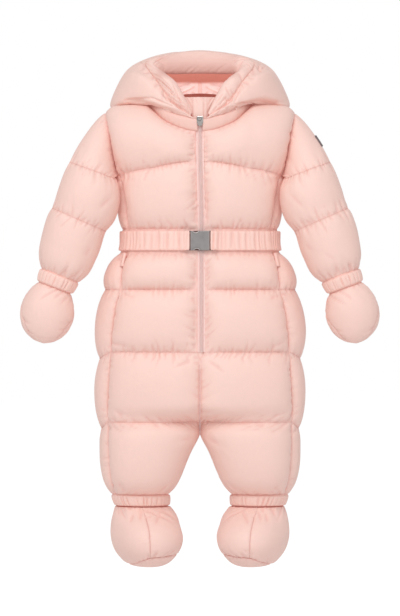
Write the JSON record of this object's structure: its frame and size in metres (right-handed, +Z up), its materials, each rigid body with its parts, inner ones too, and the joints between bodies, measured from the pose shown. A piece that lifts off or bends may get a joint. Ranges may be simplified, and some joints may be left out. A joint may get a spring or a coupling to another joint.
{
  "type": "baby snowsuit",
  "caption": "Quilted one-piece baby snowsuit with a hood, front zip, gathered belt with a hook buckle, and closed mittens and bootees, filled out with nobody in it.",
  "frame": {"origin": "between the shoulders, at the height of the shoulder seams, where the wearer holds the suit up", "axes": "+Z up to the hood, the front with the zip facing -Y, +X towards the wearer's left"},
  "size_m": [0.4788, 0.2086, 0.6991],
  "materials": {
    "cloth": "soft satin nylon, quilted over down",
    "zip_tape": "matte woven tape and plastic coil",
    "zip_metal": "bright",
    "buckle_metal": "satin grey",
    "patch": "matte felt"
  },
  "bodies": {
    "snowsuit": {"front_upper_left": "cloth", "front_upper_right": "cloth", "front_lower_left": "cloth", "front_lower_right": "cloth", "side_upper_left": "cloth", "side_upper_right": "cloth", "side_lower_left": "cloth", "side_lower_right": "cloth", "back_upper": "cloth", "back_lower_left": "cloth", "back_lower_right": "cloth", "sleeve_left": "cloth", "sleeve_right": "cloth", "cuff_left": "cloth", "cuff_right": "cloth", "mitten_back_left": "cloth", "mitten_back_right": "cloth", "mitten_palm_left": "cloth", "mitten_palm_right": "cloth", "ankle_band_left": "cloth", "ankle_band_right": "cloth", "bootee_outer_left": "cloth", "bootee_outer_right": "cloth", "bootee_inner_left": "cloth", "bootee_inner_right": "cloth", "sole_left": "cloth", "sole_right": "cloth", "collar_left": "cloth", "collar_right": "cloth", "hood_side_left": "cloth", "hood_side_right": "cloth", "hood_crown": "cloth", "hood_brim": "cloth", "wind_guard": "cloth", "zip_tape_left": "zip_tape", "zip_tape_right": "zip_tape", "zip_chain": "zip_tape", "zip_slider": "zip_metal", "belt": "cloth", "buckle_frame": "buckle_metal", "buckle_plate": "buckle_metal", "pocket_welt_left": "cloth", "pocket_welt_right": "cloth", "sleeve_patch": "patch"},
    "pull_tab": {"pull_tab": "zip_metal"}
  },
  "joints": [
    {"name": "pull_tab_hinge", "type": "hinge", "parent": "snowsuit", "child": "pull_tab", "pos_m": [0, -0.06574, -0.0215], "axis": [-1, 0, 0], "range_deg": [0, 150]}
  ]
}
